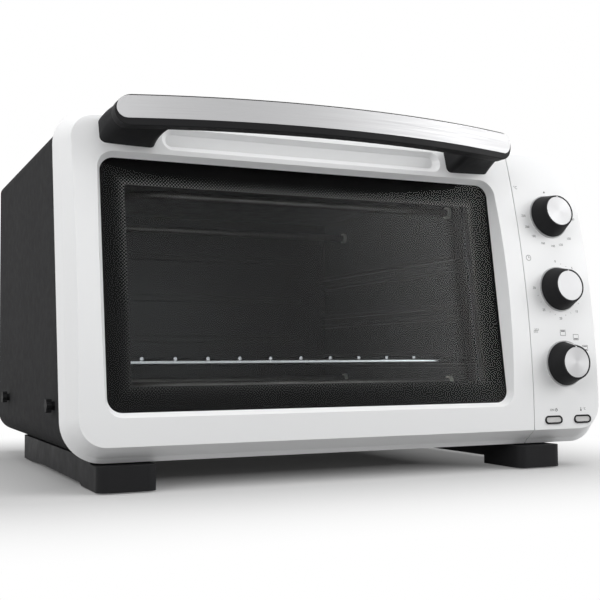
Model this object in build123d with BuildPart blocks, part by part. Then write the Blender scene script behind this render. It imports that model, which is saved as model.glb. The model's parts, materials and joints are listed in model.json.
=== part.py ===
from build123d import *
import os
from math import asin, cos, degrees, radians, sin, sqrt, tan

# Electric countertop oven with a drop-down glass door, in millimetres.
# X runs to the right, Y to the back, Z up. The origin is on the worktop, under
# the middle of the oven. The whole front leans back, so the front pieces are
# drawn on planes that lean with it: v runs up the lean, w runs forward from the
# outer face of the door glass.

# Overall form
lean = 8.47                 # degrees that the front leans back at the top
fascia_width = 456.0        # white front, door and control panel together
fascia_height = 255.0       # measured along the lean
fascia_corner = 29.0
fascia_clear = 20.6         # worktop to the front's low edge, were it upright
body_depth = 368.0          # glass face at the fascia's middle to the rear face
rim_back = 13.25            # the fascia's back edge behind the glass face
crown = 10.9                # rise of the fascia's face over the glass at mid height
crown_radius = 790.0
edge_inset = 9.5            # width of the sloping edge band, seen from the front
edge_step_in = 3.0          # where the band's two facets meet, in from the outline
edge_step_back = 10.7       # and how far behind the crowned face
fascia_wall = 3.0
panel_width = 76.0          # control panel, the front's fixed right end
parting_gap = 0.8

# Window and glass, the window placed by the white margins round it
margin_left = 30.0
margin_right = 22.0
margin_above = 39.85
margin_below = 32.85
window_corner = 10.5
bevel_side = 4.8            # spread of the bevel round the window, over its depth
bevel_bottom = 9.2
bevel_top = 6.2
bevel_depth = 11.0
window_collar = 13.0        # moulding round the window that the glass lies on
outer_glass = 4.0
inner_glass = 3.2
glass_lap = 7.0
plug_back = 22.0            # how far the inner frame reaches behind the glass face
plug_margin = 6.0
plug_corner = 12.0
inner_lap = 9.0             # width of the inner frame's lip over the inner glass

# Handle
handle_reach = 67.0         # front of the bar, forward of the leaning glass plane
handle_bow = 27.0
handle_inset = 1.0          # each end of the bar, in from the window's sides
handle_shift = 1.5          # the bar's middle, right of the window's
handle_down = 25.6          # the bar's underside, under the top of the front
handle_height = 21.5
handle_thick = 14.0
handle_round = 3.0
plate_height = 15.5
plate_drop = 0.9            # black rim that shows over the plate
plate_thick = 1.2
plate_proud = 0.2
foot_width = 41.0
foot_height = 20.8
foot_down = 22.3            # middle of the feet, under the top edge of the front
foot_in = (17.5, 20.5)      # middle of each foot, in from the bar's left and right ends
foot_flare = 11.0           # how far the feet widen inwards where they meet the bar
handle_screw = 2.0
recess_gap = 3.5            # between the finger recess and each foot
recess_height = 17.0
recess_down = 23.0
recess_floor = -1.5

# Housing
housing_inset = 12.0        # each side, in from the front's edge
housing_down = 7.6          # top of the housing, under the top of the front
housing_rise = 1.4          # underside of the housing, over the front's low edge
housing_corner = 18.0       # bottom corners
housing_top_corner = 8.0
sheet = 1.0
rear_dish = 18.0
rear_round = 6.0
flange_width = 27.0         # the wrap's bottom flanges, in from its sides
fit_gap = 0.3
vent_length = 34.0
vent_height = 3.6
gland_in = 69.0             # in from the housing's right side
gland_z = 60.0
gland_radius = 6.0
gland_proud = 3.0

# Cavity
cavity_side = 6.0           # cavity walls, in from the window's sides
cavity_under = 30.0         # cavity floor over the housing's underside
cavity_over = 30.0          # cavity roof under the housing's top
cavity_rear_gap = 55.0      # between the cavity's back wall and the rear face
liner = 0.8
liner_flange = 6.0
runner_depth = 5.5
runner_height = 4.0
runner_pitch = 42.0
runner_count = 3
ridge_rise = 24.0           # pressed ridges of the back wall, over the runners
ridge_side = 30.0
rack_rise = 36.0            # wire rack over the cavity floor
rack_front = 32.0           # front rail behind the fascia's middle plane
rack_rail = 2.0
rack_wire = 1.4
rack_gap = 1.5              # beside the rack's rails
wire_side = 26.5            # outermost wires, in from the rails
wire_count = 11
element_radius = 3.25
element_bend = 30.0
element_front = 62.0        # front leg behind the fascia's middle plane
element_rear = 50.0         # rear leg ahead of the cavity's back wall
element_over = 18.0         # lower element over the cavity floor
element_under = 20.0        # upper element under the cavity roof
tray_height = 8.0
tray_sheet = 1.0
tray_front = 14.0

# Door hinge and arms
hinge_up = 12.5             # hinge line over the front's low edge
hinge_w = -8.0
pin_radius = 2.5
pin_length = 18.0
pin_clear = 0.06
ear_width = 8.0
ear_thick = 2.0
ear_gap = 0.5               # beside the ear, between the two bosses that hold the pin
ear_turn = 50.0             # degrees that the ear rises from straight back
ear_reach = 15.0
ear_in = 9.0                # ears, inside the cavity's side walls
ear_foot = 20.0
pin_boss = 9.0
swing_gap = 0.5
arm_out = 9.5               # door arms, outside the cavity's side walls
arm_thick = 2.0
arm_inner = 45.0
arm_outer = 52.0
arm_hook = 4.5
arm_end = 90.0              # degrees back from straight up the door
arm_start = 9.0

# Controls
knob_in = 42.5              # knob centres, in from the front's right edge
knob_v = (61.5, -2.0, -64.5)
knob_base = 18.2
knob_front = 13.8
knob_height = 14.2
knob_wall = 1.8
disc_radius = 12.5
disc_thick = 0.9
ring_radius = 19.0
ring_thick = 1.4
ring_sunk = 0.6
shaft_radius = 3.0
shaft_clear = 0.06
bracket_drop = 46.0         # bracket behind the crowned face
bracket_sheet = 1.5
lens_width = 17.5
lens_height = 7.0
lens_aside = (-14.0, 15.5)  # lamp windows, left and right of the knobs' centres
lens_up = 17.1
bezel_edge = 1.3

# Feet, from the floor up
pad_proud = 1.0
rail_clear = 3.0
front_foot_top = 18.8
foot_front = 16.4           # front of the feet ahead of the fascia's middle plane
foot_length = 50.0
foot_wide = 42.0
rail_wall = 12.0
rear_foot_y = 281.5         # back of the rear feet behind the same plane
left_foot_in = 11.0         # outer faces of the two foot rails, in from the housing's sides
right_foot_in = 35.0

# Values that follow
lean_sin = sin(radians(lean))
lean_cos = cos(radians(lean))
fascia_mid_z = fascia_clear + fascia_height / 2
fascia_top_z = fascia_clear + fascia_height
left = -fascia_width / 2
door_width = fascia_width - panel_width
door_edge = left + door_width - parting_gap / 2
panel_edge = door_edge + parting_gap
window_width = door_width - margin_left - margin_right
window_height = fascia_height - margin_above - margin_below
window_x = left + margin_left + window_width / 2
window_v = (margin_below - margin_above) / 2

handle_bottom = fascia_top_z - handle_down
handle_mid_z = handle_bottom + handle_height / 2
handle_front = (handle_mid_z - fascia_mid_z) * tan(radians(lean)) - handle_reach
handle_width = window_width - 2 * handle_inset
bar_left = window_x + handle_shift - handle_width / 2
bar_right = bar_left + handle_width
bar_mid = (bar_left + bar_right) / 2
foot_x = (bar_left + foot_in[0], bar_right - foot_in[1])
foot_v = fascia_height / 2 - foot_down
recess_width = foot_x[1] - foot_x[0] - foot_width - 2 * recess_gap
recess_v = fascia_height / 2 - recess_down

mid_y = -(body_depth + gland_proud + handle_front) / 2
rear_y = mid_y + body_depth
housing_width = fascia_width - 2 * housing_inset
housing_top = fascia_top_z - housing_down
housing_bottom = fascia_clear + housing_rise
base_opening = housing_width - 2 * flange_width
gland_x = housing_width / 2 - gland_in
left_foot = left_foot_in - housing_width / 2
right_foot = housing_width / 2 - right_foot_in
inside = housing_width / 2 - sheet - fit_gap
side_height = housing_top - housing_bottom
housing_mid_z = (housing_top + housing_bottom) / 2

cavity_width = window_width - 2 * cavity_side
cavity_left = window_x - cavity_width / 2
cavity_right = window_x + cavity_width / 2
cavity_bottom = housing_bottom + cavity_under
cavity_top = housing_top - cavity_over
cavity_rear = rear_y - cavity_rear_gap
rack_z = cavity_bottom + rack_rise
rack_half = cavity_width / 2 - rack_gap - rack_rail
wire_pitch = 2 * (rack_half - wire_side) / (wire_count - 1)
upper_element_z = cavity_top - element_under
lower_element_z = cavity_bottom + element_over

hinge_v = hinge_up - fascia_height / 2
ear_x = (cavity_left + ear_in, cavity_right - ear_in)
arm_x = (cavity_left - arm_out, cavity_right + arm_out)
knob_x = fascia_width / 2 - knob_in
lens_x = (knob_x + lens_aside[0], knob_x + lens_aside[1])
lens_v = lens_up - fascia_height / 2
frame_w = -rim_back - fit_gap
frame_back = frame_w - sheet
swing = sqrt((fascia_height / 2 + hinge_v) ** 2 + (rim_back + hinge_w) ** 2)
far = 1000.0


def front(offset=0.0, x=0.0, v=0.0):
    """A plane that leans with the front, forward of the glass face by offset."""
    return Plane(
        origin=(
            x,
            mid_y + v * lean_sin - offset * lean_cos,
            fascia_mid_z + v * lean_cos + offset * lean_sin,
        ),
        x_dir=(1, 0, 0),
        z_dir=(0, -lean_cos, lean_sin),
    )


def section(x):
    """A plane across the front at x: local x runs up the lean, local y forward."""
    return Plane(origin=(x, mid_y, fascia_mid_z), x_dir=(0, lean_sin, lean_cos), z_dir=(1, 0, 0))


def face_height(v):
    """Height of the fascia's crowned face over the glass, at v up the lean."""
    return crown - crown_radius + sqrt(crown_radius**2 - v**2)


def face_plane(x, v, offset=0.0):
    """The plane square to the crowned face at x and v, raised by offset."""
    turn = radians(lean) + asin(v / crown_radius)
    spot = front(face_height(v), x, v).origin
    normal = Vector(0, -cos(turn), sin(turn))
    return Plane(origin=spot + normal * offset, x_dir=(1, 0, 0), z_dir=normal)


def on_front(v, w):
    """World y and z of a point at v up the lean and w forward."""
    spot = front(w, 0, v).origin
    return spot.Y, spot.Z


def front_v(z, w):
    """How far up the lean a height z lies, at w forward."""
    return (z - fascia_mid_z - w * lean_sin) / lean_cos


def crowned_face(width, height, corner, drop):
    """The crowned face within a rounded outline, lowered by drop."""
    with BuildPart() as core:
        with BuildSketch(front(-rim_back)):
            RectangleRounded(width, height, corner)
        extrude(amount=rim_back + crown + 5)
        reach = fascia_height / 2
        with BuildSketch(section(left - 10)):
            with BuildLine():
                face_arc = ThreePointArc(
                    (-reach, face_height(reach) - drop), (0, crown - drop), (reach, face_height(reach) - drop)
                )
                Polyline(
                    face_arc @ 1, (reach, -rim_back - 1), (-reach, -rim_back - 1), face_arc @ 0
                )
            make_face()
        extrude(amount=fascia_width + 20, mode=Mode.INTERSECT)
    return core.faces().filter_by(GeomType.CYLINDER).sort_by(SortBy.AREA)[-1]


def fascia_form(shrink=0.0):
    """The front's form: rounded outline, crowned face and a sloping edge band.

    The band has two facets on the outside and one inside, where the hinge needs room.
    """
    width = fascia_width - 2 * shrink
    height = fascia_height - 2 * shrink
    corner = fascia_corner - shrink
    face = crowned_face(
        width - 2 * edge_inset, height - 2 * edge_inset, corner - edge_inset, shrink
    )
    with BuildSketch(front(-rim_back)) as back:
        RectangleRounded(width, height, corner)
    back_face = back.sketch.faces()[0]
    step = crowned_face(
        width - 2 * edge_step_in, height - 2 * edge_step_in, corner - edge_step_in, edge_step_back
    )
    band = []
    for low in back_face.edges():
        if not shrink:
            middle = step.edges().sort_by_distance(low @ 0.5)[0]
            band.append(Face.make_surface_from_curves(low, middle))
            low = middle
        high = face.edges().sort_by_distance(low @ 0.5)[0]
        band.append(Face.make_surface_from_curves(low, high))
    return Part() + Solid(Shell([face, back_face] + band))


def housing_outline(shrink=0.0):
    """The housing's outline from the front, about its middle."""
    with BuildSketch() as outline:
        Rectangle(housing_width - 2 * shrink, side_height - 2 * shrink)
        fillet(outline.vertices().group_by(Axis.Y)[-1], housing_top_corner - shrink)
        fillet(outline.vertices().group_by(Axis.Y)[0], housing_corner - shrink)
    return outline.sketch


def slab(x_low, x_high):
    """A block that holds everything of the front between two x values."""
    with BuildPart() as block:
        with BuildSketch(section(x_low)):
            Rectangle(far, far)
        extrude(amount=x_high - x_low)
    return block.part


def ahead(offset):
    """A block that holds everything forward of a leaning plane."""
    with BuildPart() as block:
        with BuildSketch(front(offset)):
            Rectangle(far, far)
        extrude(amount=far / 2)
    return block.part


def save(builder, name):
    """Label a finished piece and write it."""
    builder.part.label = name
    export_step(builder.part, f"parts/{name}.step")


os.makedirs("parts", exist_ok=True)
outer_form = fascia_form()
inner_form = fascia_form(fascia_wall)
middle_form = fascia_form(fascia_wall / 2)

# Door frame: a hollow white moulding with a bevelled window and a finger recess
door_boss_x = (left + 17.5, door_edge - 8.6)
door_bosses = [(x, v) for x in door_boss_x for v in (-70, 0, 70)]
hinge_y, hinge_z = on_front(hinge_v, hinge_w)

with BuildPart() as door_core:
    add(inner_form)
    add(slab(door_edge - fascia_wall, far), mode=Mode.SUBTRACT)

with BuildPart() as door_ribs:
    with BuildSketch(front()):
        with Locations((window_x, window_v)):
            RectangleRounded(
                window_width + 2 * window_collar,
                window_height + 2 * window_collar,
                window_corner + window_collar,
            )
    extrude(amount=crown + 2)
    with BuildSketch(front(recess_floor - fascia_wall)):
        with Locations((window_x, recess_v)):
            RectangleRounded(recess_width + 12, recess_height + 2, 8)
    extrude(amount=crown + fascia_wall + 2)
    with BuildSketch(front(-rim_back + sheet)):
        with Locations(*door_bosses):
            Circle(4.2)
            Rectangle(2, 13)
    extrude(amount=rim_back + crown)
    for x in ear_x:
        for side in (-1, 1):
            start = x + side * (ear_thick / 2 + ear_gap) - (pin_boss if side < 0 else 0)
            with BuildSketch(section(start)):
                with Locations((hinge_v, hinge_w)):
                    Circle(ear_width / 2)
                    Rectangle(far, ear_width, align=(Align.MAX, Align.CENTER))
            extrude(amount=pin_boss)
    add(middle_form, mode=Mode.INTERSECT)

with BuildPart() as door_frame:
    add(outer_form)
    add(slab(door_edge, far), mode=Mode.SUBTRACT)
    add(door_core.part, mode=Mode.SUBTRACT)
    add(door_ribs.part)
    with BuildSketch(front(-0.1)):
        with Locations((window_x, window_v)):
            RectangleRounded(window_width, window_height, window_corner)
    with BuildSketch(front(bevel_depth)):
        with Locations((window_x, window_v + (bevel_top - bevel_bottom) / 2)):
            RectangleRounded(
                window_width + 2 * bevel_side,
                window_height + bevel_top + bevel_bottom,
                window_corner + bevel_side,
            )
    loft(ruled=True, mode=Mode.SUBTRACT)
    with BuildSketch(front(recess_floor)):
        with Locations((window_x, recess_v)):
            RectangleRounded(recess_width - 12, recess_height - 8, 4)
    extrude(amount=12, taper=-38, mode=Mode.SUBTRACT)
    with BuildSketch(front(-rim_back)):
        with Locations(*door_bosses):
            Circle(1.4)
    extrude(amount=14, mode=Mode.SUBTRACT)
    with BuildSketch(front(-rim_back)):
        with Locations(*[(x, foot_v) for x in foot_x]):
            Circle(handle_screw + 0.2)
    extrude(amount=rim_back + crown, mode=Mode.SUBTRACT)
    for x in ear_x:
        with BuildSketch(section(x - pin_length / 2)):
            with Locations((hinge_v, hinge_w)):
                Circle(pin_radius)
        extrude(amount=pin_length, mode=Mode.SUBTRACT)
save(door_frame, "door_frame")

# Outer glass, held against the moulding from behind by a pressed ring
glass_width = window_width + 2 * glass_lap
glass_height = window_height + 2 * glass_lap
with BuildPart() as door_outer_glass:
    with BuildSketch(front(-outer_glass)):
        with Locations((window_x, window_v)):
            RectangleRounded(glass_width, glass_height, window_corner)
    extrude(amount=outer_glass)
save(door_outer_glass, "door_outer_glass")

with BuildPart() as glass_retainer:
    with BuildSketch(front(-outer_glass - sheet)):
        with Locations((window_x, window_v)):
            RectangleRounded(glass_width, glass_height, window_corner)
            RectangleRounded(glass_width - 26, glass_height - 26, 6, mode=Mode.SUBTRACT)
    extrude(amount=sheet)
save(glass_retainer, "glass_retainer")

# Inner frame: a pressed panel whose tub reaches into the cavity's mouth
mouth_low = front_v(cavity_bottom, frame_w)
mouth_high = front_v(cavity_top, frame_w)
mouth_v = (mouth_low + mouth_high) / 2
ear_slot_top = (rim_back + hinge_w) * tan(radians(ear_turn)) + ear_width / 2 / cos(radians(ear_turn)) + 0.8
plug_width = cavity_width - 2 * plug_margin
plug_height = mouth_high - mouth_low - 2 * plug_margin
pane_width = plug_width - 2 * sheet - 1
pane_height = plug_height - 2 * sheet - 1
with BuildPart() as door_inner_frame:
    with BuildSketch(front(-rim_back)):
        RectangleRounded(
            fascia_width - 2 * (fascia_wall + 1.2),
            fascia_height - 2 * (fascia_wall + 1.2),
            fascia_corner - fascia_wall - 1.2,
        )
    extrude(amount=sheet)
    with BuildSketch(front(-plug_back)):
        with Locations((window_x, mouth_v)):
            RectangleRounded(plug_width, plug_height, plug_corner)
    extrude(amount=plug_back - rim_back + sheet)
    with BuildSketch(front(-plug_back + sheet)):
        with Locations((window_x, mouth_v)):
            RectangleRounded(plug_width - 2 * sheet, plug_height - 2 * sheet, plug_corner - sheet)
    extrude(amount=plug_back, mode=Mode.SUBTRACT)
    with BuildSketch(front(-plug_back)):
        with Locations((window_x, mouth_v)):
            RectangleRounded(pane_width - 2 * inner_lap, pane_height - 2 * inner_lap, 6)
    extrude(amount=plug_back, mode=Mode.SUBTRACT)
    add(slab(door_edge - fascia_wall - 1, far), mode=Mode.SUBTRACT)
    with BuildSketch(front(-plug_back)):
        with Locations(*[(x, hinge_v + ear_slot_top) for x in ear_x]):
            Rectangle(ear_thick + 2 * ear_gap, far, align=(Align.CENTER, Align.MAX))
    extrude(amount=plug_back, mode=Mode.SUBTRACT)
    for x in arm_x:
        with BuildSketch(front(-plug_back)):
            with Locations((x, hinge_v + (arm_inner + arm_outer) / 2)):
                Rectangle(arm_thick + 0.6, arm_outer - arm_inner + 3)
        extrude(amount=plug_back, mode=Mode.SUBTRACT)
save(door_inner_frame, "door_inner_frame")

with BuildPart() as door_inner_glass:
    with BuildSketch(front(-plug_back + sheet)):
        with Locations((window_x, mouth_v)):
            RectangleRounded(pane_width, pane_height, plug_corner - sheet)
    extrude(amount=inner_glass)
save(door_inner_glass, "door_inner_glass")

# Door arms: curved flat bars about the hinge, hooked at the end as a stop
def arm_point(radius, angle):
    """A point on the arm's section, turned back from straight up the door."""
    turn = radians(angle)
    return (hinge_v + radius * cos(turn), hinge_w - radius * sin(turn))


with BuildPart() as door_arms:
    for x in arm_x:
        with BuildSketch(section(x - arm_thick / 2)):
            with BuildLine():
                hook_end = arm_end + 0.5
                hook_start = hook_end - 2.5
                middle = (arm_start + arm_end) / 2
                outer = ThreePointArc(
                    arm_point(arm_outer, 0), arm_point(arm_outer, middle), arm_point(arm_outer, arm_end)
                )
                Line(outer @ 1, arm_point(arm_inner - arm_hook, hook_end))
                Line(
                    arm_point(arm_inner - arm_hook, hook_end),
                    arm_point(arm_inner - arm_hook, hook_start),
                )
                Line(arm_point(arm_inner - arm_hook, hook_start), arm_point(arm_inner, hook_start))
                inner = ThreePointArc(
                    arm_point(arm_inner, hook_start), arm_point(arm_inner, middle), arm_point(arm_inner, 0)
                )
                Line(inner @ 1, outer @ 0)
            make_face()
        extrude(amount=arm_thick)
        inward = 1 if x < window_x else -1
        with BuildSketch(front(-rim_back + sheet)):
            with Locations((x + inward * 6, hinge_v + (arm_inner + arm_outer) / 2)):
                Rectangle(12 + arm_thick, arm_outer - arm_inner + 2)
        extrude(amount=1.5)
save(door_arms, "door_arms")

# Hinge ears on the housing and the pins that the door turns on
base_z = housing_bottom + sheet
base_top = base_z + sheet
with BuildPart() as hinge_brackets:
    rise = radians(ear_turn - lean)
    half = ear_width / 2
    neck_y = hinge_y - half * sin(rise) + ear_reach * cos(rise)
    neck_z = hinge_z + half * cos(rise) + ear_reach * sin(rise)
    back_y = hinge_y + swing + 4 * swing_gap + half / 2
    for x in ear_x:
        with BuildSketch(Plane.YZ.offset(x - ear_thick / 2)):
            with Locations((hinge_y, hinge_z)):
                Circle(half)
            with BuildLine():
                Polyline(
                    (hinge_y - half * sin(rise), hinge_z + half * cos(rise)),
                    (neck_y, neck_z),
                    (back_y + ear_width, neck_z),
                    (back_y + ear_width, base_top),
                    (back_y, base_top),
                    (back_y, neck_z - ear_width / 2),
                    (neck_y + ear_width * sin(rise), neck_z - ear_width * cos(rise)),
                    (hinge_y + half * sin(rise), hinge_z - half * cos(rise)),
                    close=True,
                )
            make_face()
            with Locations((hinge_y, hinge_z)):
                Circle(pin_radius + pin_clear, mode=Mode.SUBTRACT)
        extrude(amount=ear_thick)
        with BuildSketch(Plane.XY.offset(base_top)):
            with Locations((x, back_y + ear_foot / 2)):
                RectangleRounded(ear_foot, ear_foot, 3)
                with Locations((-6, 0), (6, 0)):
                    Circle(1.6, mode=Mode.SUBTRACT)
        extrude(amount=ear_thick)
save(hinge_brackets, "hinge_brackets")

with BuildPart() as hinge_pins:
    for x in ear_x:
        with BuildSketch(section(x - pin_length / 2 + 1)):
            with Locations((hinge_v, hinge_w)):
                Circle(pin_radius)
        extrude(amount=pin_length - 2)
save(hinge_pins, "hinge_pins")

# Handle: a bowed black bar on two feet, with a thin metal plate let into its face
handle_front_y = mid_y + handle_front
end_y = handle_front_y + handle_bow
plate_z = handle_bottom + handle_height - plate_drop - plate_height / 2


def bow(setback, inset):
    """The handle's front line, seen from above, set back and shortened."""
    return ThreePointArc(
        (bar_left + inset, end_y + setback),
        (bar_mid, handle_front_y + setback),
        (bar_right - inset, end_y + setback),
    )


def bow_plane(x, setback, z):
    """An upright plane along the handle's curve at x, set back from its front line."""
    bow_radius = ((handle_width / 2) ** 2 + handle_bow**2) / (2 * handle_bow)
    turn = asin((x - bar_mid) / bow_radius)
    y = handle_front_y + setback + bow_radius * (1 - cos(turn))
    return Plane(origin=(x, y, z), x_dir=(cos(turn), sin(turn), 0), z_dir=(sin(turn), -cos(turn), 0))


with BuildPart() as handle_plate:
    with BuildSketch(Plane.XY.offset(plate_z - plate_height / 2)):
        with BuildLine():
            near = bow(0, 0)
            rear_line = bow(plate_thick, 0)
            Line(near @ 0, rear_line @ 0)
            Line(near @ 1, rear_line @ 1)
        make_face()
    extrude(amount=plate_height)
    with BuildSketch(Plane.XZ.offset(-end_y - 20)):
        with Locations((bar_mid, plate_z)):
            SlotOverall(handle_width - 2, plate_height)
    extrude(amount=80, mode=Mode.INTERSECT)
save(handle_plate, "handle_plate")

with BuildPart() as handle_bar:
    with BuildSketch(Plane.XY.offset(handle_bottom)):
        with BuildLine():
            near = bow(plate_proud, 0)
            rear_line = bow(handle_thick, 0)
            Line(near @ 0, rear_line @ 0)
            Line(near @ 1, rear_line @ 1)
        make_face()
    extrude(amount=handle_height)
    with BuildSketch(Plane.XZ.offset(-end_y - 20)):
        with Locations((bar_mid, handle_mid_z)):
            SlotOverall(handle_width, handle_height)
    extrude(amount=80, mode=Mode.INTERSECT)
    bar_faces = handle_bar.faces().filter_by(GeomType.CYLINDER).sort_by(SortBy.AREA)[-2:]
    fillet(bar_faces.sort_by(Axis.Y)[-1].edges(), handle_round)
    bar_faces = handle_bar.faces().filter_by(GeomType.CYLINDER).sort_by(SortBy.AREA)[-2:]
    fillet(bar_faces.sort_by(Axis.Y)[0].edges(), plate_drop - 0.2)
    add(handle_plate.part, mode=Mode.SUBTRACT)
    for x in foot_x:
        inward = 1 if x < bar_mid else -1
        with BuildSketch(bow_plane(x + inward * (foot_flare + 4) / 2, handle_thick / 2, handle_mid_z)):
            RectangleRounded(
                foot_width + foot_flare - 4, handle_height - 4, (handle_height - 4) / 2 - 0.4
            )
        with BuildSketch(bow_plane(x + inward * 1.5, handle_thick + 9, handle_mid_z - 3)):
            RectangleRounded(foot_width + 1.5, handle_height - 3, 6)
        with BuildSketch(front(face_height(foot_v) - 3)):
            with Locations((x, foot_v)):
                RectangleRounded(foot_width, foot_height, 4)
        loft()
    add(outer_form, mode=Mode.SUBTRACT)
    with BuildSketch(front(0)):
        with Locations(*[(x, foot_v) for x in foot_x]):
            Circle(handle_screw)
    extrude(amount=18, mode=Mode.SUBTRACT)
save(handle_bar, "handle_bar")

with BuildPart() as handle_screws:
    head_w = face_height(foot_v) - fascia_wall
    for x in foot_x:
        with BuildSketch(front(head_w - 2.8, x, foot_v)):
            Circle(4)
        extrude(amount=2.2)
        with BuildSketch(front(head_w - 0.6, x, foot_v)):
            Circle(handle_screw)
        extrude(amount=18.6 - head_w)
save(handle_screws, "handle_screws")

# Control panel: the fixed right end of the fascia
panel_bosses = [(x, v) for x in (panel_edge + 12, inside - 6) for v in (mouth_low + 8, mouth_high - 4)]
with BuildPart() as panel_core:
    add(inner_form)
    add(slab(-far, panel_edge + fascia_wall), mode=Mode.SUBTRACT)

with BuildPart() as panel_ribs:
    with BuildSketch(front(frame_w + 1)):
        with Locations(*panel_bosses):
            Circle(4.2)
            Rectangle(12, 2)
    extrude(amount=rim_back + crown)
    add(middle_form, mode=Mode.INTERSECT)

with BuildPart() as control_panel:
    add(outer_form)
    add(slab(-far, panel_edge), mode=Mode.SUBTRACT)
    add(panel_core.part, mode=Mode.SUBTRACT)
    add(panel_ribs.part)
    with BuildSketch(front(frame_w)):
        with Locations(*panel_bosses):
            Circle(4.2)
    extrude(amount=2)
    for v in knob_v:
        with BuildSketch(face_plane(knob_x, v, -ring_sunk)):
            Circle(ring_radius + 0.1)
        extrude(amount=4, mode=Mode.SUBTRACT)
        with BuildSketch(face_plane(knob_x, v, -8)):
            Circle(shaft_radius + 1)
        extrude(amount=12, mode=Mode.SUBTRACT)
    with BuildSketch(front(-rim_back)):
        with Locations(*[(x, lens_v) for x in lens_x]):
            SlotOverall(lens_width, lens_height)
    extrude(amount=rim_back + crown, mode=Mode.SUBTRACT)
save(control_panel, "control_panel")

# Lamp windows: a dark bezel, a clear lens in it and a lamp behind
lens_plane_w = face_height(lens_v)
bezel_back = lens_plane_w - fascia_wall - 1
with BuildPart() as lamp_bezels:
    with BuildSketch(front(bezel_back)):
        with Locations(*[(x, lens_v) for x in lens_x]):
            SlotOverall(lens_width - 0.2, lens_height - 0.2)
            SlotOverall(
                lens_width - 2 * bezel_edge, lens_height - 2 * bezel_edge, mode=Mode.SUBTRACT
            )
    extrude(amount=fascia_wall + 1.6)
save(lamp_bezels, "lamp_bezels")

with BuildPart() as lamp_lenses:
    with BuildSketch(front(lens_plane_w - fascia_wall)):
        with Locations(*[(x, lens_v) for x in lens_x]):
            SlotOverall(lens_width - 2 * bezel_edge - 0.2, lens_height - 2 * bezel_edge - 0.2)
    extrude(amount=fascia_wall + 0.2)
save(lamp_lenses, "lamp_lenses")

with BuildPart() as pilot_lamps:
    for x in lens_x:
        with BuildSketch(front(frame_w, x, lens_v)):
            Circle(4.5)
        extrude(amount=2)
        with BuildSketch(front(frame_w, x, lens_v)):
            Circle(2.9)
        extrude(amount=bezel_back - 0.2 - frame_w)
save(pilot_lamps, "pilot_lamps")

# Rings, knobs, metal discs and shafts on the face's own normals
with BuildPart() as knob_rings:
    for v in knob_v:
        with BuildSketch(face_plane(knob_x, v, -ring_sunk)):
            Circle(ring_radius)
            Circle(shaft_radius + 1, mode=Mode.SUBTRACT)
        extrude(amount=ring_thick)
save(knob_rings, "knob_rings")

knob_names = ("thermostat", "timer", "function")
knob_low = ring_thick - ring_sunk + fit_gap
shaft_back = -bracket_drop - 12
for name, v in zip(knob_names, knob_v):
    with BuildPart() as knob:
        with BuildSketch(face_plane(knob_x, v, knob_low)):
            Circle(knob_base)
        with BuildSketch(face_plane(knob_x, v, knob_low + knob_height)):
            Circle(knob_front)
        loft()
        fillet(knob.edges().filter_by(GeomType.CIRCLE).sort_by(Axis.Y)[0], 0.7)
        with BuildSketch(face_plane(knob_x, v, knob_low + knob_height - disc_thick)):
            Circle(disc_radius)
        extrude(amount=disc_thick, mode=Mode.SUBTRACT)
        with BuildSketch(face_plane(knob_x, v, knob_low)):
            Circle(knob_base - knob_wall - 1)
            Circle(shaft_radius + 2.5, mode=Mode.SUBTRACT)
        extrude(amount=knob_height - disc_thick - knob_wall, taper=8, mode=Mode.SUBTRACT)
        with BuildSketch(face_plane(knob_x, v, knob_low)):
            Circle(shaft_radius)
        extrude(amount=knob_height - disc_thick - knob_wall, mode=Mode.SUBTRACT)
    save(knob, f"{name}_knob")

    with BuildPart() as disc:
        with BuildSketch(face_plane(knob_x, v, knob_low + knob_height - disc_thick)):
            Circle(disc_radius - 0.05)
        extrude(amount=disc_thick - 0.2)
    save(disc, f"{name}_disc")

    with BuildPart() as shaft:
        with BuildSketch(face_plane(knob_x, v, shaft_back)):
            Circle(shaft_radius)
        extrude(amount=knob_low + knob_height - disc_thick - knob_wall - shaft_back)
    save(shaft, f"{name}_shaft")

# Bracket that carries the three controls, bent to the face's own curve
with BuildPart() as control_bracket:
    bracket_half = 92.0
    rise = crown - bracket_drop

    def bracket_arc(drop):
        edge = rise - drop - (crown - face_height(bracket_half))
        return ThreePointArc((-bracket_half, edge), (0, rise - drop), (bracket_half, edge))

    with BuildSketch(section(panel_edge - 4)):
        with BuildLine():
            top_arc = bracket_arc(0)
            low_arc = bracket_arc(bracket_sheet)
            Line(top_arc @ 0, low_arc @ 0)
            Line(top_arc @ 1, low_arc @ 1)
        make_face()
    extrude(amount=inside - panel_edge + 2)
    for x in (panel_edge - 4, inside - 2 - bracket_sheet):
        with BuildSketch(section(x)):
            with BuildLine():
                low_arc = bracket_arc(0.2)
                Polyline(
                    low_arc @ 1, (bracket_half, frame_back), (-bracket_half, frame_back), low_arc @ 0
                )
            make_face()
        extrude(amount=bracket_sheet)
    for v in knob_v:
        with BuildSketch(face_plane(knob_x, v, -bracket_drop - 6)):
            Circle(shaft_radius + 1)
        extrude(amount=12, mode=Mode.SUBTRACT)
save(control_bracket, "control_bracket")

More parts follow.
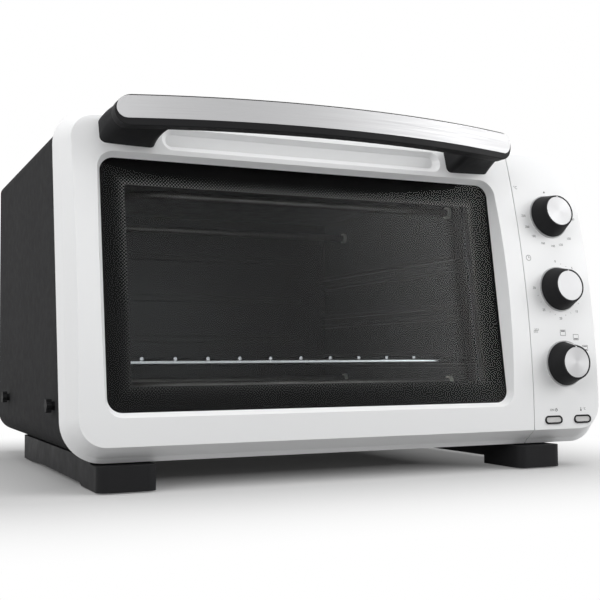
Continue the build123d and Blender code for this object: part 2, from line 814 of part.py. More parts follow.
# Thermostat, timer and selector bodies behind the bracket
body_face = -bracket_drop - bracket_sheet - 0.4
body_size = ((36, 36, 24), (40, 44, 36), (34, 34, 28))
for name, v, size in zip(knob_names, knob_v, body_size):
    width, height, depth = size
    with BuildPart() as control:
        with BuildSketch(face_plane(knob_x - 4, v, body_face - depth)):
            RectangleRounded(width, height, 3)
        extrude(amount=depth)
        if name == "timer":
            with BuildSketch(face_plane(knob_x - 4, v, body_face - depth - 9)):
                Circle(17)
            extrude(amount=9, taper=-6)
        if name == "function":
            with BuildSketch(face_plane(knob_x - 4, v, body_face - depth - 7)):
                with GridLocations(10, 8, 3, 3):
                    Rectangle(6, 0.8)
            extrude(amount=8)
        if name == "thermostat":
            with BuildSketch(face_plane(knob_x - 4, v, body_face - depth - 5)):
                Circle(13)
            extrude(amount=6)
        with BuildSketch(face_plane(knob_x, v, shaft_back - 1)):
            Circle(shaft_radius + shaft_clear)
        extrude(amount=20, mode=Mode.SUBTRACT)
    save(control, f"{name}_body")

# Front frame: the leaning steel plate that the door closes on
frame_top = front_v(housing_top - sheet - fit_gap, frame_w)
frame_low = hinge_v + swing + 2 * swing_gap
panel_low = -fascia_height / 2 + fascia_wall + 4
with BuildPart() as front_frame:
    with BuildSketch(front(frame_back)):
        with Locations((0, frame_top)):
            Rectangle(2 * inside, frame_top - frame_low, align=(Align.CENTER, Align.MAX))
        with Locations((inside, frame_low)):
            Rectangle(inside - panel_edge - fit_gap, frame_low - panel_low, align=(Align.MAX, Align.MAX))
    extrude(amount=sheet)
    with BuildSketch(Plane.XZ.offset(-far / 2)):
        with Locations((0, housing_mid_z)):
            add(housing_outline(sheet + fit_gap))
    extrude(amount=far, mode=Mode.INTERSECT)
    with BuildSketch(front(frame_back)):
        with Locations((window_x, mouth_v)):
            RectangleRounded(cavity_width, mouth_high - mouth_low, 4)
        with Locations(*[(x, hinge_v + (arm_inner + arm_outer) / 2) for x in arm_x]):
            Rectangle(arm_thick + 1.2, arm_outer - arm_inner + 3)
    extrude(amount=sheet, mode=Mode.SUBTRACT)
    for v in knob_v:
        with BuildSketch(face_plane(knob_x, v, -40)):
            Circle(shaft_radius + 4)
        extrude(amount=36, mode=Mode.SUBTRACT)
save(front_frame, "front_frame")

# Cavity liner: an open steel box with pressed runners
runner_levels = [rack_z + n * runner_pitch for n in range(runner_count)]
cavity_mid_z = (cavity_bottom + cavity_top) / 2
element_y = (mid_y + element_front, cavity_rear - element_rear)
with BuildPart() as cavity_liner:
    with BuildSketch(Plane.XZ.offset(-cavity_rear - liner)):
        with Locations((window_x, cavity_mid_z)):
            Rectangle(cavity_width + 2 * liner, cavity_top - cavity_bottom + 2 * liner)
    extrude(amount=body_depth)
    with BuildSketch(Plane.XZ.offset(-cavity_rear)):
        with Locations((window_x, cavity_mid_z)):
            Rectangle(cavity_width, cavity_top - cavity_bottom)
    extrude(amount=body_depth, mode=Mode.SUBTRACT)
    with BuildSketch(Plane.XZ.offset(-cavity_rear)):
        for level in runner_levels:
            for side in (-1, 1):
                x = window_x + side * (cavity_width / 2 - runner_depth / 2 + 0.3)
                low = level - rack_rail - fit_gap - runner_height / 2
                high = level + rack_rail + 1.5 + runner_height / 2
                with Locations((x, low), (x, high)):
                    RectangleRounded(runner_depth + 0.6, runner_height, 1.8)
    extrude(amount=body_depth)
    with BuildSketch(Plane.XZ.offset(-cavity_rear)):
        with Locations(*[(window_x, level + ridge_rise) for level in runner_levels]):
            RectangleRounded(cavity_width - 2 * ridge_side, 7, 3)
    extrude(amount=1.6, taper=30)
    add(ahead(frame_back - liner), mode=Mode.SUBTRACT)
    with BuildSketch(front(frame_back - liner)):
        with Locations((window_x, mouth_v)):
            Rectangle(cavity_width + 2 * liner_flange, mouth_high - mouth_low + 2 * 3)
            Rectangle(cavity_width, mouth_high - mouth_low, mode=Mode.SUBTRACT)
    extrude(amount=liner)
    with BuildSketch(Plane.YZ.offset(cavity_right - 8)):
        with Locations(*[(y, z) for y in element_y for z in (upper_element_z, lower_element_z)]):
            Circle(element_radius + 1.8)
    extrude(amount=20, mode=Mode.SUBTRACT)
save(cavity_liner, "cavity_liner")

# Heating elements: sheathed tubes bent to a U, ends through the right wall
element_left = cavity_left + 28
element_right = cavity_right + 16
for name, z in (("upper_element", upper_element_z), ("lower_element", lower_element_z)):
    with BuildPart() as element:
        with BuildLine(Plane.XY.offset(z)) as route:
            FilletPolyline(
                (element_right, element_y[0]),
                (element_left, element_y[0]),
                (element_left, element_y[1]),
                (element_right, element_y[1]),
                radius=element_bend,
            )
        with BuildSketch(Plane(origin=route.line @ 0, z_dir=route.line % 0)):
            Circle(element_radius)
        sweep()
    save(element, name)

with BuildPart() as element_insulators:
    for y in element_y:
        for z in (upper_element_z, lower_element_z):
            with BuildSketch(Plane.YZ.offset(cavity_right - 3)):
                with Locations((y, z)):
                    Circle(element_radius + 1.7)
                    Circle(element_radius + 0.1, mode=Mode.SUBTRACT)
            extrude(amount=13)
            with BuildSketch(Plane.YZ.offset(cavity_right + liner)):
                with Locations((y, z)):
                    Circle(element_radius + 4.5)
                    Circle(element_radius + 0.1, mode=Mode.SUBTRACT)
            extrude(amount=3)
save(element_insulators, "element_insulators")

with BuildPart() as element_hangers:
    hanger_y = (element_y[0] + element_y[1]) / 2
    for z in (upper_element_z, lower_element_z):
        with BuildSketch(Plane.XZ.offset(-hanger_y - 8)):
            with BuildLine():
                shelf = z - element_radius - 0.2
                Polyline(
                    (cavity_left, shelf + 12),
                    (cavity_left, shelf - sheet),
                    (element_left + 8, shelf - sheet),
                    (element_left + 8, shelf + 3),
                    (element_left + 8 - sheet, shelf + 3),
                    (element_left + 8 - sheet, shelf),
                    (cavity_left + sheet, shelf),
                    (cavity_left + sheet, shelf + 12),
                    close=True,
                )
            make_face()
        extrude(amount=16)
save(element_hangers, "element_hangers")

# Wire rack on the lowest runners
rack_front_y = mid_y + rack_front
rack_rear_y = cavity_rear - 10
with BuildPart() as wire_rack:
    with BuildLine(Plane.XY.offset(rack_z)) as rim:
        FilletPolyline(
            (window_x + rack_half, rack_front_y),
            (window_x + rack_half, rack_rear_y),
            (window_x - rack_half, rack_rear_y),
            (window_x - rack_half, rack_front_y),
            radius=9,
            close=True,
        )
    with BuildSketch(Plane(origin=rim.line @ 0, z_dir=rim.line % 0)):
        Circle(rack_rail)
    sweep()
    with BuildSketch(Plane.XZ.offset(-rack_rear_y - 1)):
        with Locations(
            *[
                (window_x + (n - (wire_count - 1) / 2) * wire_pitch, rack_z + rack_rail + rack_wire - 0.3)
                for n in range(wire_count)
            ]
        ):
            Circle(rack_wire)
    extrude(amount=rack_rear_y - rack_front_y + 2)
save(wire_rack, "wire_rack")

# Crumb tray on the cavity floor
tray_y = mid_y + tray_front
tray_depth = cavity_rear - 6 - tray_y
tray_width = cavity_width - 8
with BuildPart() as crumb_tray:
    with BuildSketch(Plane.XY.offset(cavity_bottom + fit_gap)):
        with Locations((window_x, tray_y + tray_depth / 2)):
            RectangleRounded(tray_width, tray_depth, 6)
    extrude(amount=tray_height)
    with BuildSketch(Plane.XY.offset(cavity_bottom + fit_gap + tray_sheet)):
        with Locations((window_x, tray_y + tray_depth / 2)):
            RectangleRounded(tray_width - 2 * tray_sheet, tray_depth - 2 * tray_sheet, 5)
    extrude(amount=tray_height, mode=Mode.SUBTRACT)
save(crumb_tray, "crumb_tray")

# Outer wrap: sides and top in one bent sheet, with flanges under the base
wrap_rear = rear_y - rear_dish
with BuildPart() as outer_wrap:
    with BuildSketch(Plane.XZ.offset(-wrap_rear)):
        with Locations((0, housing_mid_z)):
            add(housing_outline())
            add(housing_outline(sheet), mode=Mode.SUBTRACT)
        with Locations((0, housing_bottom)):
            Rectangle(base_opening, 10, mode=Mode.SUBTRACT)
    extrude(amount=body_depth)
    add(ahead(-rim_back - fit_gap), mode=Mode.SUBTRACT)
    with BuildSketch(section(-housing_width)):
        with Locations((hinge_v, hinge_w)):
            Circle(swing + swing_gap)
    extrude(amount=housing_width + panel_edge, mode=Mode.SUBTRACT)
save(outer_wrap, "outer_wrap")

# Rear cover: a shallow pressed dish with louvres
with BuildPart() as rear_cover:
    with BuildSketch(Plane.XZ.offset(-rear_y)):
        with Locations((0, housing_mid_z)):
            add(housing_outline())
    extrude(amount=rear_dish)
    fillet(rear_cover.faces().sort_by(Axis.Y)[-1].edges(), rear_round)
    offset(amount=-sheet, openings=rear_cover.faces().sort_by(Axis.Y)[0])
    with BuildSketch(Plane.XZ.offset(-rear_y - 1)):
        with Locations((0, housing_mid_z + 62)):
            with GridLocations(vent_length + 10, vent_height * 2.4, 7, 5):
                SlotOverall(vent_length, vent_height)
        with Locations((0, housing_mid_z - 66)):
            with GridLocations(vent_length + 10, vent_height * 2.4, 5, 3):
                SlotOverall(vent_length, vent_height)
        with Locations((gland_x, gland_z)):
            Circle(gland_radius + 0.1)
    extrude(amount=sheet + 3, mode=Mode.SUBTRACT)
save(rear_cover, "rear_cover")

# Cord gland, with nothing in it
with BuildPart() as cord_gland:
    with BuildSketch(Plane.XZ.offset(-rear_y - gland_proud)):
        with Locations((gland_x, gland_z)):
            Circle(gland_radius + 3)
    extrude(amount=gland_proud)
    with BuildSketch(Plane.XZ.offset(-rear_y)):
        with Locations((gland_x, gland_z)):
            Circle(gland_radius)
    extrude(amount=9)
    with BuildSketch(Plane.XZ.offset(-rear_y - gland_proud)):
        with Locations((gland_x, gland_z)):
            Circle(3.6)
    extrude(amount=gland_proud + 9, mode=Mode.SUBTRACT)
save(cord_gland, "cord_gland")

# Base plate on the wrap's flanges
base_front = hinge_y + swing + 3 * swing_gap
base_depth = wrap_rear - fit_gap - base_front
with BuildPart() as base_plate:
    with BuildSketch(Plane.XY.offset(base_z)):
        with Locations((0, base_front + base_depth / 2)):
            Rectangle(housing_width - 2 * housing_corner, base_depth)
            with Locations((window_x, 20)):
                with GridLocations(46, 22, 6, 8):
                    SlotOverall(34, 4.5, rotation=0, mode=Mode.SUBTRACT)
    extrude(amount=sheet)
save(base_plate, "base_plate")

# Brackets that hold the back of the cavity over the base plate
with BuildPart() as cavity_brackets:
    for x in (cavity_left + 40, cavity_right - 40):
        with BuildSketch(Plane.YZ.offset(x - 12)):
            with BuildLine():
                foot_y = cavity_rear - 40
                Polyline(
                    (foot_y, base_top),
                    (foot_y + 22, base_top),
                    (foot_y + 22, cavity_bottom - liner - sheet),
                    (foot_y + 40, cavity_bottom - liner - sheet),
                    (foot_y + 40, cavity_bottom - liner),
                    (foot_y + 22 - sheet, cavity_bottom - liner),
                    (foot_y + 22 - sheet, base_top + sheet),
                    (foot_y, base_top + sheet),
                    close=True,
                )
            make_face()
        extrude(amount=24)
save(cavity_brackets, "cavity_brackets")

# Terminal block on the base plate by the gland
with BuildPart() as terminal_block:
    with BuildSketch(Plane.XY.offset(base_top)):
        with Locations((gland_x, rear_y - 60)):
            RectangleRounded(36, 20, 2)
    extrude(amount=14)
    with BuildSketch(Plane.XY.offset(base_top + 8)):
        with Locations((gland_x, rear_y - 60)):
            with GridLocations(11, 11, 3, 2):
                Circle(2)
    extrude(amount=10, mode=Mode.SUBTRACT)
save(terminal_block, "terminal_block")

# Foot rails: one moulding each side, with a foot at each end
foot_front_y = mid_y - foot_front
front_foot_back = foot_front_y + foot_length
rear_foot_back = mid_y + rear_foot_y
rear_foot_front = rear_foot_back - foot_length
swing_back = hinge_y + swing + 1.4
for name, outer_x, inward in (("foot_rail_left", left_foot, 1), ("foot_rail_right", right_foot, -1)):
    foot_top = base_z if abs(outer_x) < base_opening / 2 else housing_bottom
    low_x = min(outer_x, outer_x + inward * foot_wide)
    rail_x = min(outer_x, outer_x + inward * rail_wall)
    with BuildPart() as foot_rail:
        with BuildSketch(Plane.YZ.offset(low_x)):
            with BuildLine():
                Polyline(
                    (foot_front_y, pad_proud),
                    (front_foot_back, pad_proud),
                    (front_foot_back, foot_top),
                    (swing_back, foot_top),
                    (swing_back, front_foot_top),
                    (foot_front_y, front_foot_top),
                    close=True,
                )
            make_face()
            with BuildLine():
                Polyline(
                    (rear_foot_front, pad_proud),
                    (rear_foot_back, pad_proud),
                    (rear_foot_back, foot_top),
                    (rear_foot_front, foot_top),
                    close=True,
                )
            make_face()
        extrude(amount=foot_wide)
        upright = foot_rail.edges().filter_by(Axis.Z)
        fillet(upright.sort_by(Axis.Y)[:2], 7)
        fillet(foot_rail.edges().filter_by(Axis.Z).sort_by(Axis.Y)[-2:], 7)
        with BuildSketch(Plane.YZ.offset(rail_x)):
            with BuildLine():
                Polyline(
                    (front_foot_back - 12, pad_proud),
                    (front_foot_back, pad_proud),
                    (front_foot_back + 7, rail_clear),
                    (rear_foot_front - 30, rail_clear),
                    (rear_foot_front, pad_proud),
                    (rear_foot_front + 12, pad_proud),
                    (rear_foot_front + 12, foot_top),
                    (front_foot_back - 12, foot_top),
                    close=True,
                )
            make_face()
        extrude(amount=rail_wall)
        with BuildSketch(Plane.XY):
            with Locations(
                (low_x + foot_wide / 2, foot_front_y + foot_length / 2),
                (low_x + foot_wide / 2, rear_foot_back - foot_length / 2),
            ):
                RectangleRounded(foot_wide - 14, foot_length - 14, 4)
        extrude(amount=pad_proud + 1.5, mode=Mode.SUBTRACT)
    save(foot_rail, name)

with BuildPart() as foot_pads:
    with BuildSketch(Plane.XY):
        for outer_x, inward in ((left_foot, 1), (right_foot, -1)):
            with Locations(
                (outer_x + inward * foot_wide / 2, foot_front_y + foot_length / 2),
                (outer_x + inward * foot_wide / 2, rear_foot_back - foot_length / 2),
            ):
                RectangleRounded(foot_wide - 14.2, foot_length - 14.2, 3.9)
    extrude(amount=pad_proud + 1.5)
save(foot_pads, "foot_pads")

# Stand-off studs on both sides, which keep walls and curtains away
stud_y = (mid_y + 78, mid_y + 297)
stud_z = 56.8
stud_stem = 2.5
stud_head = 4.0
with BuildPart() as side_studs:
    for side in (-1, 1):
        wall_x = side * housing_width / 2
        for y in stud_y:
            stem_x = wall_x if side > 0 else wall_x - stud_stem
            head_x = wall_x + stud_stem if side > 0 else wall_x - stud_stem - stud_head
            with BuildSketch(Plane.YZ.offset(stem_x)):
                with Locations((y, stud_z)):
                    RegularPolygon(3.6, 6)
            extrude(amount=stud_stem)
            with BuildSketch(Plane.YZ.offset(head_x)):
                with Locations((y, stud_z)):
                    Circle(4.6)
                    with PolarLocations(4.5, 6):
                        Circle(1.3)
            extrude(amount=stud_head)
save(side_studs, "side_studs")
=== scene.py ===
import json
from math import asin, cos, pi, radians, sin, sqrt

import bpy
from mathutils import Matrix, Vector


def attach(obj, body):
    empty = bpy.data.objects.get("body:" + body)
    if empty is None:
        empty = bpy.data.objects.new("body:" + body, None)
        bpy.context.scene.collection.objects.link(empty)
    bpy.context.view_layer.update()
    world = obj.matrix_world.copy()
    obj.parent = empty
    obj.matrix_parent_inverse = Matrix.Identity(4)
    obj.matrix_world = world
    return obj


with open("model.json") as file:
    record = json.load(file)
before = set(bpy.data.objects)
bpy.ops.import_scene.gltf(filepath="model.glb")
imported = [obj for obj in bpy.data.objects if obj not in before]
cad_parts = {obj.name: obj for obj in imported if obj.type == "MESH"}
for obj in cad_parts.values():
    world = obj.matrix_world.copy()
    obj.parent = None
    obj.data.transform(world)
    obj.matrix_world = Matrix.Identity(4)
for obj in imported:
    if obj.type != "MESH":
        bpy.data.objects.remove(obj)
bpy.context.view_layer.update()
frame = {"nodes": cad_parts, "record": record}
nodes = frame["nodes"]

# The leaning front, in metres: MID is on the glass plane at the front's middle.
# v runs up the lean, w runs forward out of the glass.
LEAN = radians(8.47)
MID = Vector((0.0, -0.16039, 0.1481))
UP = Vector((0.0, sin(LEAN), cos(LEAN)))
OUT = Vector((0.0, -cos(LEAN), sin(LEAN)))
CROWN = 0.0109
CROWN_RADIUS = 0.790

WINDOW_X = -0.034
WINDOW_V = -0.0035
WINDOW_WIDTH = 0.328
WINDOW_HEIGHT = 0.1823
WINDOW_CORNER = 0.0105
GLASS_BACK = -0.004

KNOB_X = 0.1855
KNOB_V = {"thermostat": 0.0615, "timer": -0.002, "function": -0.0645}
KNOB_LOW = 0.0011               # the knob's foot, over the white face
KNOB_HEIGHT = 0.0142
KNOB_BASE = 0.0182              # radius at the foot
KNOB_FRONT = 0.0138             # radius at the front
KNOB_RIM = 0.0008

PRINT_LIFT = 0.00005            # print stands this far off its surface
MM = 0.001


def on_glass(x, v, w):
    """A point of the leaning front, w forward of the glass plane."""
    return MID + Vector((x, 0, 0)) + UP * v + OUT * w


def on_face(x, v, lift=PRINT_LIFT):
    """A point on the crowned white face, raised by lift."""
    return on_glass(x, v, CROWN - CROWN_RADIUS + sqrt(CROWN_RADIUS**2 - v**2) + lift)


# ---------------------------------------------------------------- node helpers


class Nodes:
    """Short calls that build a node tree; values can be numbers or sockets."""

    def __init__(self, tree):
        self.tree = tree

    def node(self, kind, inputs=(), **settings):
        made = self.tree.nodes.new(kind)
        for name, value in settings.items():
            setattr(made, name, value)
        for key, value in dict(inputs).items():
            if isinstance(value, bpy.types.NodeSocket):
                self.tree.links.new(value, made.inputs[key])
            else:
                made.inputs[key].default_value = value
        return made

    def math(self, operation, first, second=0.0):
        return self.node("ShaderNodeMath", {0: first, 1: second}, operation=operation).outputs[0]

    def along(self, place, direction):
        """How far a place lies along a direction."""
        inputs = {0: place, 1: tuple(direction)}
        return self.node("ShaderNodeVectorMath", inputs, operation="DOT_PRODUCT").outputs["Value"]

    def length(self, x, y):
        squares = self.math("ADD", self.math("MULTIPLY", x, x), self.math("MULTIPLY", y, y))
        return self.math("SQRT", squares)

    def past_box(self, x, y):
        """Distance out of a box from the distances past its sides; negative inside it."""
        outside = self.length(self.math("MAXIMUM", x, 0.0), self.math("MAXIMUM", y, 0.0))
        inside = self.math("MINIMUM", self.math("MAXIMUM", x, y), 0.0)
        return self.math("ADD", outside, inside)

    def spread(self, value, source, target=(0.0, 1.0), curve="LINEAR"):
        """Map a value from one range to another, held within the second."""
        ends = zip(("From Min", "From Max", "To Min", "To Max"), (*source, *target))
        inputs = {"Value": value, **dict(ends)}
        return self.node("ShaderNodeMapRange", inputs, interpolation_type=curve).outputs[0]

    def blend(self, factor, one, two):
        """A colour between two, each a colour or a socket."""
        one, two = (end if isinstance(end, bpy.types.NodeSocket) else (*end, 1) for end in (one, two))
        made = self.node("ShaderNodeMix", {"Factor": factor, "A": one, "B": two}, data_type="RGBA")
        return made.outputs["Result"]

    def seen(self):
        """One for the rays that show the background: in the picture, in metal, through glass."""
        path = self.node("ShaderNodeLightPath").outputs
        either = self.math("MAXIMUM", path["Is Camera Ray"], path["Is Glossy Ray"])
        return self.math("MAXIMUM", either, path["Is Transmission Ray"])


# ---------------------------------------------------------------- materials

NOISE_RANGE = (0.3, 0.7)        # where most of a noise's values lie
looks = {}


class Look(Nodes):
    """A material with one main shader, kept in looks under its name."""

    def __init__(self, name, colour, roughness, **sockets):
        self.material = bpy.data.materials.new(name)
        self.material.use_nodes = True
        super().__init__(self.material.node_tree)
        self.shader = self.tree.nodes["Principled BSDF"]
        self.shader.inputs["Base Color"].default_value = (*colour, 1.0)
        self.shader.inputs["Roughness"].default_value = roughness
        for socket, value in sockets.items():
            self.shader.inputs[socket.replace("_", " ")].default_value = value
        self.place = self.node("ShaderNodeTexCoord").outputs["Object"]
        looks[name] = self

    def feed(self, output, socket):
        """Link an output to one of the main shader's sockets."""
        self.tree.links.new(output, self.shader.inputs[socket])

    def noise(self, scale, stretch=(1, 1, 1), detail=3.0):
        """Noise in the object's own place, stretched per axis."""
        place = self.node("ShaderNodeMapping", {"Vector": self.place, "Scale": stretch}).outputs[0]
        return self.node("ShaderNodeTexNoise", {"Vector": place, "Scale": scale, "Detail": detail}).outputs[0]

    def vary(self, noise, low, high):
        """Let the roughness drift between two values."""
        self.feed(self.spread(noise, NOISE_RANGE, (low, high)), "Roughness")

    def tint(self, noise, one, two):
        """Let the base colour drift between two colours."""
        self.feed(self.blend(noise, one, two), "Base Color")

    def relief(self, heights, distance, strength=1.0):
        """Raise the surface by a height field; distance is in metres."""
        inputs = {"Height": heights, "Distance": distance, "Strength": strength}
        self.feed(self.node("ShaderNodeBump", inputs).outputs[0], "Normal")


white = Look("white_moulding", (0.86, 0.865, 0.87), 0.36, Specular_IOR_Level=0.4)
white.vary(white.noise(60), 0.32, 0.42)
white.relief(white.noise(900, detail=1.0), 0.00003)

black = Look("black_moulding", (0.018, 0.018, 0.019), 0.5, Specular_IOR_Level=0.08)
black.vary(black.noise(90), 0.5, 0.62)
black.relief(black.noise(2600, detail=2.0), 0.00004)

housing = Look("dark_housing", (0.030, 0.030, 0.031), 0.75, Specular_IOR_Level=0.03)
housing.tint(housing.noise(9), (0.027, 0.027, 0.028), (0.033, 0.033, 0.034))
housing.vary(housing.noise(160), 0.7, 0.82)
housing.relief(housing.noise(1900, detail=2.0), 0.00006)

grey = Look("grey_moulding", (0.47, 0.475, 0.48), 0.4)
grey.vary(grey.noise(200), 0.36, 0.46)

# turned metal: the highlight fans out from the knob's axis
spun = Look("spun_aluminium", (0.37, 0.37, 0.375), 0.52, Metallic=1.0, Anisotropic=0.6)
spun.feed(spun.node("ShaderNodeTangent", direction_type="RADIAL", axis="Y").outputs[0], "Tangent")

# brushed along the handle: the noise is long in x and fine in z
brushed = Look("brushed_plate", (0.38, 0.38, 0.385), 0.46, Metallic=1.0, Anisotropic=0.4)
brushed.vary(brushed.noise(60, (0.25, 1, 30), 2.0), 0.44, 0.58)
brushed.relief(brushed.noise(70, (0.3, 1, 40), 2.0), 0.00002)

outer_pane = Look("outer_glass", (0.82, 0.83, 0.84), 0.02, IOR=1.17, Transmission_Weight=1.0)
outer_pane.relief(outer_pane.noise(6, detail=0.0), 0.0002, 0.15)

inner_pane = Look("inner_glass", (0.80, 0.82, 0.82), 0.03, IOR=1.17, Transmission_Weight=1.0)
inner_pane.vary(inner_pane.noise(30), 0.02, 0.06)

zinc = Look("plated_steel", (0.50, 0.50, 0.50), 0.38, Metallic=1.0)
zinc.tint(zinc.noise(35), (0.42, 0.42, 0.43), (0.58, 0.58, 0.57))
zinc.vary(zinc.noise(120), 0.3, 0.5)

enamel = Look("dark_enamel", (0.038, 0.038, 0.039), 0.34)
enamel.tint(enamel.noise(18), (0.034, 0.034, 0.035), (0.045, 0.045, 0.046))
enamel.vary(enamel.noise(80), 0.28, 0.42)
enamel.relief(enamel.noise(420, detail=1.0), 0.00008)

chrome = Look("rack_chrome", (0.86, 0.86, 0.87), 0.14, Metallic=1.0)
chrome.vary(chrome.noise(150), 0.10, 0.2)

sheath = Look("element_sheath", (0.20, 0.19, 0.185), 0.42, Metallic=1.0)
sheath.tint(sheath.noise(40), (0.14, 0.13, 0.125), (0.27, 0.25, 0.24))
sheath.vary(sheath.noise(300), 0.34, 0.55)

ceramic = Look("ceramic", (0.80, 0.77, 0.70), 0.3)
ceramic.vary(ceramic.noise(400), 0.25, 0.4)

rubber = Look("pad_rubber", (0.014, 0.014, 0.014), 0.75, Specular_IOR_Level=0.06)
rubber.relief(rubber.noise(1500), 0.00008)

# fine ribs across the lens
lens = Look("lamp_lens", (0.52, 0.515, 0.51), 0.16, Coat_Weight=0.4)
ribs = lens.node("ShaderNodeTexWave", {"Vector": lens.place, "Scale": 260.0}).outputs["Fac"]
lens.relief(ribs, 0.0002, 0.6)

nylon = Look("lamp_body", (0.66, 0.64, 0.58), 0.45)
nylon.vary(nylon.noise(300), 0.4, 0.55)

phenolic = Look("control_body", (0.10, 0.065, 0.04), 0.45)
phenolic.tint(phenolic.noise(250), (0.085, 0.055, 0.033), (0.12, 0.078, 0.048))

ink = Look("dial_ink", (0.05, 0.05, 0.052), 0.5)
ink.vary(ink.noise(900), 0.45, 0.6)

mark = Look("pointer_white", (0.80, 0.80, 0.80), 0.4)
mark.vary(mark.noise(900), 0.36, 0.5)

for part in frame["record"]["subparts"]:
    for holder in nodes[part["node"]].material_slots:
        holder.material = looks[part["material_slot"]].material


def sheet_piece(name, points, faces, look, body):
    """A thin piece from points and faces, riding on a body."""
    mesh = bpy.data.meshes.new(name)
    mesh.from_pydata([tuple(p) for p in points], [], faces)
    mesh.materials.append(look.material)
    mesh.update()
    piece = bpy.data.objects.new(name, mesh)
    bpy.context.scene.collection.objects.link(piece)
    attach(piece, body)
    return piece


# ---------------------------------------------------------------- window print

FRIT_SOLID = 0.0075             # width of the unbroken border, in from the window's outline
FRIT_END = 0.0183               # where the dots stop
FRIT_LAP = 0.006                # reach of the paint under the door's moulding
FRIT_PITCH = 0.0025
DOT_RADII = (0.5, 0.30)         # at the border and at the end, in pitches
CELLS_OFF = 40.0                # keeps the dot grid's counting above zero
GAP_SHADE_HEIGHTS = (-0.02, 0.08)     # over these heights v
GAP_PAINTED_SHADE = (0.05, 0.16)        # painted shade: the ground between the dots, where clear glass would show the oven's inside, is grey and grows lighter upwards
PAINT = (0.004, 0.004, 0.004)


def frit_look():
    """Black glass paint: a solid border, then dots that shrink towards the clear middle."""
    made = Look("window_frit", (0.006, 0.006, 0.006), 0.4, Specular_IOR_Level=0.05)
    x = made.math("SUBTRACT", made.along(made.place, (1, 0, 0)), WINDOW_X)
    v = made.math("SUBTRACT", made.along(made.place, UP), MID.dot(UP) + WINDOW_V)

    # depth in from the window's rounded outline
    past_x = made.math("SUBTRACT", made.math("ABSOLUTE", x), WINDOW_WIDTH / 2 - WINDOW_CORNER)
    past_v = made.math("SUBTRACT", made.math("ABSOLUTE", v), WINDOW_HEIGHT / 2 - WINDOW_CORNER)
    depth = made.math("SUBTRACT", WINDOW_CORNER, made.past_box(past_x, past_v))

    def from_dot(shift):
        """Distance from the nearest dot's middle on a grid moved by shift, in pitches."""
        aside = []
        for value in (x, v):
            cells = made.math("ADD", made.math("DIVIDE", value, FRIT_PITCH), CELLS_OFF + shift)
            aside.append(made.math("SUBTRACT", made.math("FRACT", cells), 0.5))
        return made.length(*aside)

    nearest = made.math("MINIMUM", from_dot(0.0), from_dot(0.5))
    dots = made.math("LESS_THAN", nearest, made.spread(depth, (FRIT_SOLID, FRIT_END), DOT_RADII))
    border = made.math("LESS_THAN", depth, FRIT_SOLID)
    painted = made.math("MAXIMUM", dots, border)
    # the gaps between the dots get painted shade, grey and lighter upwards; the dots and border are black
    # paint
    made.feed(made.blend(painted, made.spread(v, GAP_SHADE_HEIGHTS, GAP_PAINTED_SHADE), PAINT), "Base Color")
    made.feed(made.math("LESS_THAN", depth, FRIT_END), "Alpha")
    return made


half_x = WINDOW_WIDTH / 2 + FRIT_LAP
half_v = WINDOW_HEIGHT / 2 + FRIT_LAP
frit_points = [
    on_glass(WINDOW_X + a * half_x, WINDOW_V + b * half_v, GLASS_BACK + PRINT_LIFT)
    for a, b in ((-1, -1), (1, -1), (1, 1), (-1, 1))
]
sheet_piece("window_frit", frit_points, [(0, 1, 2, 3)], frit_look(), "door")

# ---------------------------------------------------------------- dial print

# A drawing is a list of flat outlines in millimetres, x to the right and v up.
TEXT = 2.1                      # height of the dials' numbers
LAMP_TEXT = 1.9
TEXT_TO_SIZE = 1.38             # a font's size over the height of its capitals
LINE = 0.35
SIGN_LINE = 0.3
SIGN = (5.2, 4.6)               # width and height of the box signs
SIGN_BAR = 1.9                  # half the length of a bar in a sign


def bar(x0, v0, x1, v1, width):
    along = Vector((x1 - x0, v1 - v0)).normalized() * width / 2
    side = Vector((-along.y, along.x))
    start = [(x0 + s * side.x, v0 + s * side.y) for s in (1, -1)]
    return [start + [(x1 + s * side.x, v1 + s * side.y) for s in (-1, 1)]]


def dot(x, v, radius):
    return [[(x + radius * cos(a * pi / 6), v + radius * sin(a * pi / 6)) for a in range(12)]]


def arc(x, v, radius, width, start=0.0, end=360.0, steps=28):
    """A ring or part of one; angles run clockwise from straight up."""
    sides = []
    for n in range(steps + 1):
        turn = radians(start + (end - start) * n / steps)
        edges = (radius - width / 2, radius + width / 2)
        sides.append([(x + sin(turn) * edge, v + cos(turn) * edge) for edge in edges])
    return [[low, high, next_high, next_low] for (low, high), (next_low, next_high) in zip(sides, sides[1:])]


def box(x, v, width, height, line):
    a, b = width / 2, height / 2
    return (
        bar(x - a, v + b, x + a, v + b, line)
        + bar(x - a, v - b, x + a, v - b, line)
        + bar(x - a, v - b, x - a, v + b, line)
        + bar(x + a, v - b, x + a, v + b, line)
    )


def words(text, x, v, height):
    """Lettering as flat outlines, centred at x and v."""
    curve = bpy.data.curves.new("words", "FONT")
    curve.body = text
    curve.size = height * TEXT_TO_SIZE
    curve.align_x = "CENTER"
    curve.align_y = "CENTER"
    curve.resolution_u = 3
    holder = bpy.data.objects.new("words", curve)
    bpy.context.scene.collection.objects.link(holder)
    bpy.context.view_layer.update()
    mesh = bpy.data.meshes.new_from_object(holder)
    spots = [(x + vertex.co.x, v + vertex.co.y) for vertex in mesh.vertices]
    outlines = [[spots[i] for i in face.vertices] for face in mesh.polygons]
    bpy.data.objects.remove(holder)
    bpy.data.curves.remove(curve)
    bpy.data.meshes.remove(mesh)
    return outlines


def clock(x, v, radius):
    hands = bar(x, v, x, v + radius * 0.7, LINE) + bar(x, v, x + radius * 0.55, v, LINE)
    return arc(x, v, radius, LINE) + hands


def oven_sign(x, v, *bars):
    """A box with bars in it, each given by its height over the middle and its width."""
    drawing = box(x, v, *SIGN, SIGN_LINE)
    for height, width in bars:
        drawing += bar(x - SIGN_BAR, v + height, x + SIGN_BAR, v + height, width)
    return drawing


